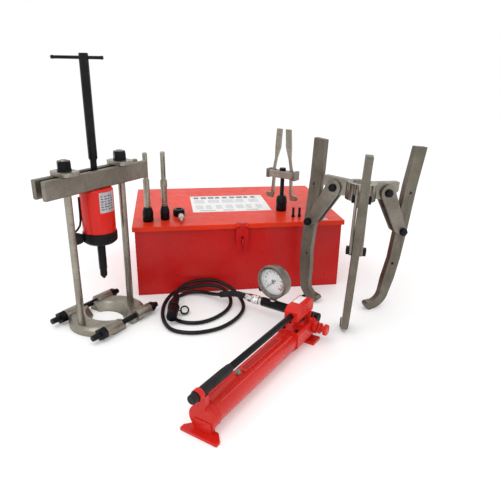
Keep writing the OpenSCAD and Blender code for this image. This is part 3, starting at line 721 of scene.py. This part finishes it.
def strap_bolts(bm, k):
    for x, z in (HEAD_BOLT, JAW_BOLT):
        at = jaw_frame(k) @ moved(x, 0, z) @ ALONG_Y
        polar(bm, [(-STRAP_FAR, 8), (STRAP_FAR, 8)], at, 32)
        for turn in (at, at @ turned(180, "X")):
            polar(bm, [(STRAP_FAR, 13.6), (STRAP_FAR + 1.6, 13.6), (STRAP_FAR + 1.8, 13.2)], turn, 40)
            nut(bm, 23, STRAP_FAR + 1.8, STRAP_FAR + 9.6, turn)


def head_thread(bm):
    """Thread grooves inside the head's bore, as rings."""
    spin = jaw_frame(1)
    for k in range(12):
        z = 405.5 + 4.2 * k
        groove = [(z, 28.45), (z + 1.4, 27.7), (z + 2.8, 28.45), (z + 2.8, 28.9), (z, 28.9)]
        polar(bm, groove, spin, 64, True)


def jaw_details():
    add_piece("head_thread", "jaw_puller", PLATE, head_thread)
    for k in (1, 2, 3):
        body = f"strap_body_{k}"
        plates = add_piece(f"strap_{k}_plates", body, STRAP,
                           lambda bm: strap_plates(bm, k), 0.0012)
        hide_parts(f"strap_{k}")
        add_piece(f"strap_{k}_bolts", body, BLACK, lambda bm: strap_bolts(bm, k))


# ---- Hand pump ----
TANK = PUMP @ moved(0, TANK_V, TANK_Z)
GRIP = PUMP @ moved(0, 0, HANDLE_Z) @ ALONG_X
VALVE = PUMP @ moved(VALVE_U, 0, VALVE_Z) @ ALONG_Y
ADAPTER = PUMP @ moved(ADAPTER_U, 0, ADAPTER_Z) @ ALONG_Y


def weld_rings(bm):
    angles = [TAU * k / 120 for k in range(120)]
    bead_r = TANK_R + 0.9
    for u in (26.2, 40.6, 423.5):
        circle = [TANK @ Vector((u, bead_r * cos(a), bead_r * sin(a))) for a in angles]
        radii = [0.0014 + 0.0003 * sin(k * 1.9) for k in range(120)]
        sweep(bm, circle, radii, 8, closed=True)


def tank_marks(bm):
    """Blank hatch in place of the lettering along the tank's raised strip."""
    strip = TANK @ moved(0, -TANK_V, 0)
    for row in range(2):
        for k in range(20):
            u = 192 + 8.4 * k
            v = -6 + 8 * row
            box(bm, (u, v + 4, 36.4), (u + 4 + (k * 3 + row) % 3, v + 8, 36.75), strip)


# Two thin raised ridges along the tank; their lighter red is a painted highlight streak.
def tank_ridge_highlights(bm):
    for angle in (52, 128):
        a = radians(angle)
        y, z = (TANK_R + 0.2) * cos(a), (TANK_R + 0.2) * sin(a)
        sweep(bm, [TANK @ Vector((60 + 350 * k / 30, y, z)) for k in range(31)], 0.0011, 8)


def head_screws(bm):
    for u, v in ((438, 25), (438, -18), (478, 27)):
        at = PUMP @ moved(u, v, 69.8)
        polar(bm, [(0, 5.5), (3.6, 5.5), (4.2, 4.9), (4.2, 3.1), (1.5, 3.1)], at, 30)
    at = PUMP @ moved(VALVE_U, 9, BLOCK_TOP - 0.5)
    polar(bm, [(0, 6.4), (1.2, 6.2), (3.2, 4.6), (4.0, 2.0)], at, 30)


def pivot_heads(bm):
    at = PUMP @ moved(PIVOT_U, 0, PIVOT_Z) @ ALONG_Y
    for turn in (at, at @ turned(180, "X")):
        polar(bm, [(26, 8.5), (28.4, 8.5), (29.6, 7.2), (30.2, 4.0)], turn, 36)


def plunger_gland(bm):
    nut(bm, 36, 79.5, 87, PUMP @ moved(PLUNGER_U, 0, 0), 9.3)


def grip_ribs(bm):
    """Rubber sleeve with round ribs and its end cap, open where the red ring sits."""
    stations = [(-29, 9.2), (-27.5, 11.2)]
    for k in range(15):
        u = -20 + 8.2 * k
        stations += [(u, 11.6), (u + 1.2, 12.0), (u + 5.2, 12.0), (u + 6.4, 11.6)]
    stations += [(107.5, 11.55), (112, 11.2)]
    keep = [p for p in stations if not -12.5 < p[0] < 4.5]
    for part in ([p for p in keep if p[0] < -12], [p for p in keep if p[0] > 4]):
        polar(bm, part, GRIP, 48)


def valve_spool(bm):
    knob = fluted(17.2, 26, 1.1)
    polar(bm, [(-76.4, 15.2), (-75.4, knob), (-66.6, knob), (-65.8, 15.2), (-65.8, 9.2)], VALVE, 208)
    disc = fluted(16.8, 26, 0.9)
    polar(bm, [(-56.3, 15), (-55.6, disc), (-50.6, disc), (-49.9, 15)], VALVE, 208)


def valve_hex(bm):
    nut(bm, 33, -45.5, -31, VALVE, 6.3)


def pump_details():
    add_piece("weld_rings", "pump", PUMP_RED, weld_rings, smooth=80)
    add_piece("tank_marks", "pump", DARK_RED, tank_marks)
    add_piece("tank_ridge_highlights", "pump", HIGHLIGHT_RED, tank_ridge_highlights, smooth=80)
    add_piece("head_screws", "pump", BLACK, head_screws)
    add_piece("pivot_heads", "pump", BLACK, pivot_heads)
    add_piece("plunger_gland", "pump", DARK_RED, plunger_gland)
    add_piece("grip_ribs", "lever", RUBBER, grip_ribs)
    add_piece("valve_spool", "valve", PUMP_RED, valve_spool)
    add_piece("valve_hex", "valve", PUMP_RED, valve_hex)
    add_film("block_label", "lever", LABEL, (472, -4, BLOCK_TOP + 0.02), (520, 18, BLOCK_TOP + 0.4), PUMP)


# ---- Gauge ----
SEGMENTS = {"0": "abcdef", "1": "bc", "2": "abdeg", "3": "abcdg", "4": "bcfg", "5": "acdfg", "6": "acdefg",
            "7": "abc", "8": "abcdefg", "9": "abcdfg"}
STROKES = {"a": (0, 2, 1, 2), "b": (1, 1, 1, 2), "c": (1, 0, 1, 1), "d": (0, 0, 1, 0), "e": (0, 0, 0, 1),
           "f": (0, 1, 0, 2), "g": (0, 1, 1, 1)}


def numeral(bm, text, x, y, height, z, at):
    """Dial number made of plain strokes, centred on x, y."""
    half, wide = height / 2, height * 0.5
    pen = height * 0.09
    left = x - (len(text) * wide * 1.5 - wide * 0.5) / 2
    for place, digit in enumerate(text):
        base = left + place * wide * 1.5
        for stroke in SEGMENTS[digit]:
            x0, y0, x1, y1 = STROKES[stroke]
            low = (base + x0 * wide - pen, y - half + y0 * half - pen, z)
            high = (base + x1 * wide + pen, y - half + y1 * half + pen, z + 0.15)
            box(bm, low, high, at)


def dial_angle(share):
    """Direction on the dial, from zero at the lower left, clockwise."""
    return 225 - 270 * share


DIAL_Z = 4.3


def dial_marks(bm):
    for k in range(51):
        long = k % 5 == 0
        at = GAUGE @ turned(dial_angle(k / 50), "Z")
        wide = 0.45 if long else 0.22
        box(bm, (36.5 if long else 38.5, -wide, DIAL_Z), (42.5, wide, DIAL_Z + 0.15), at)
    for k in range(0, 11):
        a = radians(dial_angle(k / 10))
        numeral(bm, str(k * 10), 31 * cos(a), 31 * sin(a), 5.4, DIAL_Z, GAUGE)


def inner_scale(bm):
    """Second scale nearer the hub, without numbers."""
    curved_sector(bm, 20.6, 21.1, dial_angle(1.0), dial_angle(0.0), 60)
    for k in range(29):
        at = GAUGE @ turned(dial_angle(k / 28), "Z")
        box(bm, (21, -0.25, DIAL_Z), (24.5 if k % 4 == 0 else 23, 0.25, DIAL_Z + 0.12), at)


def dial_disc(bm):
    polar(bm, [(4.02, 47.6), (4.2, 47.6), (4.28, 47.2)], GAUGE, 96)


def red_zone(bm):
    curved_sector(bm, 34.6, 42.5, dial_angle(0.70), dial_angle(1.0))


def curved_sector(bm, r0, r1, a0, a1, parts=28):
    inner, outer = [], []
    for k in range(parts + 1):
        a = radians(a0 + (a1 - a0) * k / parts)
        inner.append((r0 * cos(a), r0 * sin(a)))
        outer.append((r1 * cos(a), r1 * sin(a)))
    for k in range(parts):
        prism(bm, [inner[k], outer[k], outer[k + 1], inner[k + 1]], 4.2, 4.36, GAUGE)


def bezel(bm):
    profile = [(8, 53.1), (9, 54.1), (15.5, 54.1), (18.6, 52.6), (19.4, 50.4), (18.6, 48.4),
               (14.1, 47.6), (12, 47.6), (8, 52.6)]
    polar(bm, profile, GAUGE, 120, True)


def rim_plug(bm):
    at = GAUGE @ turned(222, "Z") @ moved(0, 0, 3) @ ALONG_X
    polar(bm, [(50, 6.5), (62, 6.5), (63, 8), (69, 8), (70.5, 6.6)], at, 30)


def needle_hub(bm):
    polar(bm, [(7.9, 4.6), (9.6, 4.6), (10.2, 3.8), (10.2, 1.6), (9.9, 1.6)], GAUGE, 36)


def gauge_details():
    add_piece("gauge_dial", "pump", DIAL_WHITE, dial_disc)
    add_piece("gauge_red_zone", "pump", DIAL_RED, red_zone)
    add_piece("gauge_marks", "pump", INK, dial_marks)
    add_piece("gauge_inner_scale", "pump", PALE_INK, inner_scale)
    add_piece("gauge_bezel", "pump", GAUGE_STEEL, bezel)
    add_piece("gauge_rim_plug", "pump", BLACK, rim_plug)
    add_piece("needle_hub", "needle", BLACK, needle_hub)
    collar = PUMP @ moved(ADAPTER_U, GAUGE_V, 0)
    ring = [(77.2, 12.5), (78.4, 13.4), (83, 13.4), (84, 12.4)]
    add_piece("gauge_collar", "pump", BRIGHT, lambda bm: polar(bm, ring, collar, 48))


# ---- Hose fittings ----
HOSE_TIP = Vector((0.113, -0.246, 0.034)) + CORNER
TIP_L = (HOSE_TIP - HOSE_LINE[-1]).length * 1000
END = facing_frame(HOSE_LINE[-1], HOSE_TIP - HOSE_LINE[-1])


def coupler_knurl(bm):
    edge = fluted(15.6, 36, 0.8)
    for z0, z1 in ((188, 198), (200, 209)):
        polar(bm, [(z0, 14.6), (z0 + 0.8, edge), (z1 - 0.8, edge), (z1, 14.6)], ADAPTER, 216)


def hose_ferrule(bm):
    points = [along_line(HOSE_LINE, d / 1000) for d in range(0, 11)]
    radii = [0.0122 if k % 5 else 0.0112 for k in range(len(points))]
    sweep(bm, points, radii, 24)


def end_knurl(bm):
    edge = fluted(17.5, 40, 0.8)
    polar(bm, [(95, 16.8), (96, edge), (TIP_L - 12, edge), (TIP_L - 11, 16.8)], END, 240)
    for z0 in (TIP_L - 8, TIP_L - 4):
        polar(bm, [(z0, 16.9), (z0 + 0.8, 17.5), (z0 + 2.2, 17.5), (z0 + 3, 16.9)], END, 60)
    stations = []
    for k in range(6):
        z, r = 3 + 6 * k, 9.4 + 0.62 * k
        stations += [(z, r), (z + 1.5, r + 1.0), (z + 4, r + 1.2)]
    polar(bm, stations, END, 40)


CAP = CASE @ moved(157, -166, 13.8) @ turned(10, "Z") @ turned(60, "X")


def cap_lining(bm):
    polar(bm, [(3.2, 11.1), (6.6, 11.1), (7.4, 9.6), (7.4, 6.4), (4.6, 5.6)], CAP, 40)


def dust_cap(bm):
    """Dust cap tipped against its strap, open side to the front."""
    cup = [(0.3, 13.5), (1.2, 15.4), (8, 15.6), (9, 14.8), (9, 11.6), (3, 11.2)]
    polar(bm, cup, CAP, 48)
    path = [(143, -168, 15), (136, -172, 16), (129, -180, 19), (124, -186, 24), (121, -190, 30),
            (122, -193, 38)]
    sweep(bm, [CASE @ Vector(p) for p in path], 0.003, 12, 0.5)
    loop = [Vector((17.4 * cos(TAU * k / 40), 17.4 * sin(TAU * k / 40), 89)) for k in range(40)]
    sweep(bm, [END @ p for p in loop], 0.002, 10, closed=True)


def hose_details():
    """Guard, ferrule and couplers; the dust cap is part of the cord."""
    add_piece("coupler_knurl", "pump", BRIGHT, coupler_knurl)
    guard = add_piece("hose_guard", "pump", RUBBER,
                      lambda bm: ribbed_sleeve(bm, 0.008, 0.128, 0.0084, 0.0112, 0.0100), smooth=80)
    ferrule = add_piece("hose_ferrule", "pump", BRIGHT, hose_ferrule)
    knurl = add_piece("end_knurl", "pump", BLACK, end_knurl)
    cap = add_piece("dust_cap", "pump", RUBBER, dust_cap)
    lining = add_piece("cap_lining", "pump", BRIGHT, cap_lining)
    return [guard, ferrule, knurl, cap, lining, "hose_end"]


# ---- Accessories on the lid ----
ROD_A = LID @ moved(*ROD_A_AT)
ROD_B = LID @ moved(*ROD_B_AT)
CUP = LID @ moved(*CUP_AT) @ turned(CUP_TURN, "Z")


def socket_knurl(bm, at, radius):
    edge = fluted(radius + 0.5, 32, 0.9)
    for z0, z1 in ((4, 15), (19, 34)):
        polar(bm, [(z0, radius - 0.4), (z0 + 1, edge), (z1 - 1, edge), (z1, radius - 0.4)], at, 192)
    polar(bm, [(49.9, radius - 3.5), (51.2, radius - 4.2), (51.2, 11.3), (49.9, 11.3)], at, 48, True)


def rod_bands(bm, at, bands):
    for z0, z1, radius in bands:
        polar(bm, [(z0, radius - 1.2), (z0 + 1, radius), (z1 - 1, radius), (z1, radius - 1.2)], at, 48)


# Thin black boxes on the rod where its two slots are: painted shade standing in for the dark recesses.
def rod_slot_shades(bm, at, z0, z1):
    for turn in (0, 180):
        place = at @ turned(turn - 60, "Z")
        box(bm, (8.1, -1.6, z0), (8.75, 1.6, z1), place)


def ring_knurl(bm):
    edge = fluted(21.5, 36, 0.8)
    at = LID @ moved(*NUT_AT)
    polar(bm, [(3, 20.6), (4, edge), (19, edge), (20, 20.6), (20, 18), (3, 18)], at, 216, True)


def fitting_ribs(bm):
    at = LID @ moved(*FITTING_AT, 11) @ ALONG_Y
    for y in (-41, -33):
        polar(bm, [(y, 4.05), (y + 1, 4.8), (y + 2.5, 4.8), (y + 3.5, 4.05)], at, 30)
    nut(bm, 20, -13, 1.5, at)
    polar(bm, [(8.5, 10.1), (9.5, 10.7), (12.5, 10.7), (13.5, 10.1)], at, 40)


def cup_knurl(bm):
    edge = fluted(20.5, 34, 0.9)
    for z0, z1 in ((5, 22), (27, 46)):
        polar(bm, [(z0, 19.6), (z0 + 1, edge), (z1 - 1, edge), (z1, 19.6)], CUP, 204)
    thread(bm, 8.1, 0.8, 2.4, 61, 126, CUP, 20)


def cup_blocks(bm):
    """Dark end blocks of the cross bar with their set screws."""
    for side in (-1, 1):
        x = side * CUP_BAR_HALF
        box(bm, (x - 6.4, -17.4, CUP_BAR_Z - 16.4), (x + 6.4, 17.4, CUP_BAR_Z + 16.4), CUP)
        at = CUP @ moved(x, 0, CUP_BAR_Z) @ turned(90, "X")
        polar(bm, [(17.3, 4.6), (20.4, 4.6), (21.2, 3.8), (21.2, 2.2), (19, 2.2)], at, 30)


def cup_top_nut(bm):
    nut(bm, 24, 157.4, 166.5, CUP, 8.3)


def pin_rings(bm):
    for x in PIN_XS:
        at = LID @ moved(x, PIN_Y)
        polar(bm, [(7.9, 6.1), (8.9, 6.1), (9.4, 4.9), (9.4, 4.45)], at, 36)
        for z in (20, 28):
            polar(bm, [(z, 4.45), (z + 0.7, 5.0), (z + 2.2, 5.0), (z + 2.9, 4.45)], at, 36)


def lid_details():
    add_piece("socket_a_knurl", "extension_a", BLACK,
              lambda bm: socket_knurl(bm, ROD_A, 18.5))
    add_piece("socket_b_knurl", "extension_b", BLACK,
              lambda bm: socket_knurl(bm, ROD_B, 16))
    rings_a = [(148, 152, 11.6), (60, 63, 11.6)]
    rings_b = [(60, 63, 11.6), (236, 239, 9.2)]
    add_piece("rod_a_rings", "extension_a", TURNED, lambda bm: rod_bands(bm, ROD_A, rings_a))
    add_piece("rod_b_rings", "extension_b", TURNED, lambda bm: rod_bands(bm, ROD_B, rings_b))
    add_piece("rod_b_slot_shades", "extension_b", INK, lambda bm: rod_slot_shades(bm, ROD_B, 158, 230))
    add_piece("ring_knurl", "ring_nut", BLACK, ring_knurl)
    add_piece("fitting_ribs", "fitting", BRIGHT, fitting_ribs)
    add_piece("cup_knurl", "cup_stand", BLACK, cup_knurl)
    add_piece("cup_top_nut", "cup_beam", BLACK, cup_top_nut)
    add_piece("cup_blocks", "cup_beam", BEAM, cup_blocks, 0.0012)
    add_piece("pin_rings", "pins", BLACK, pin_rings)


case_details()
ram_details()
jaw_details()
pump_details()
gauge_details()
ON_CORD = hose_details()
lid_details()
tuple(HOSE_LINE[0])
line_length(HOSE_LINE)


# ---- Stage and light ----
def make_stage():
    """Plain white floor that runs out of sight."""
    floor_mesh = bpy.data.meshes.new("floor")
    bm = bmesh.new()
    bmesh.ops.create_circle(bm, cap_ends=True, segments=96, radius=40)
    bm.to_mesh(floor_mesh)
    bm.free()
    n = Nodes("floor_paper")
    tone = n.mix(n.noise(2, 2), (0.86, 0.86, 0.86), (0.88, 0.88, 0.88))
    n.shader.inputs["Emission Color"].default_value = (1, 1, 1, 1)
    n.shader.inputs["Emission Strength"].default_value = 0.14
    n.finish(tone, n.spread(n.noise(3, 2), 0.8, 0.9), Specular_IOR_Level=0.1)
    floor_mesh.materials.append(n.material)
    floor_object = bpy.data.objects.new("floor", floor_mesh)
    floor_object.location.z = -0.0005
    bpy.context.scene.collection.objects.link(floor_object)


def softbox(name, place, target, size, power):
    data = bpy.data.lights.new(name, "AREA")
    data.shape = "RECTANGLE"
    data.size, data.size_y = size
    data.energy = power
    lamp = bpy.data.objects.new(name, data)
    lamp.location = place
    lamp.rotation_euler = (Vector(target) - Vector(place)).to_track_quat("-Z", "Y").to_euler()
    bpy.context.scene.collection.objects.link(lamp)


def make_light():
    world = bpy.data.worlds.new("studio")
    world.use_nodes = True
    background = world.node_tree.nodes["Background"]
    background.inputs["Color"].default_value = (1, 1, 1, 1)
    background.inputs["Strength"].default_value = 1.0
    bpy.context.scene.world = world
    softbox("key", (-1.4, -1.4, 3.0), (0, 0, 0.1), (1.8, 1.4), 26)
    softbox("fill", (2.4, -2.0, 1.8), (0, 0, 0.3), (1.6, 1.6), 6)
    bpy.context.scene.view_settings.view_transform = "Standard"


make_stage()
make_light()
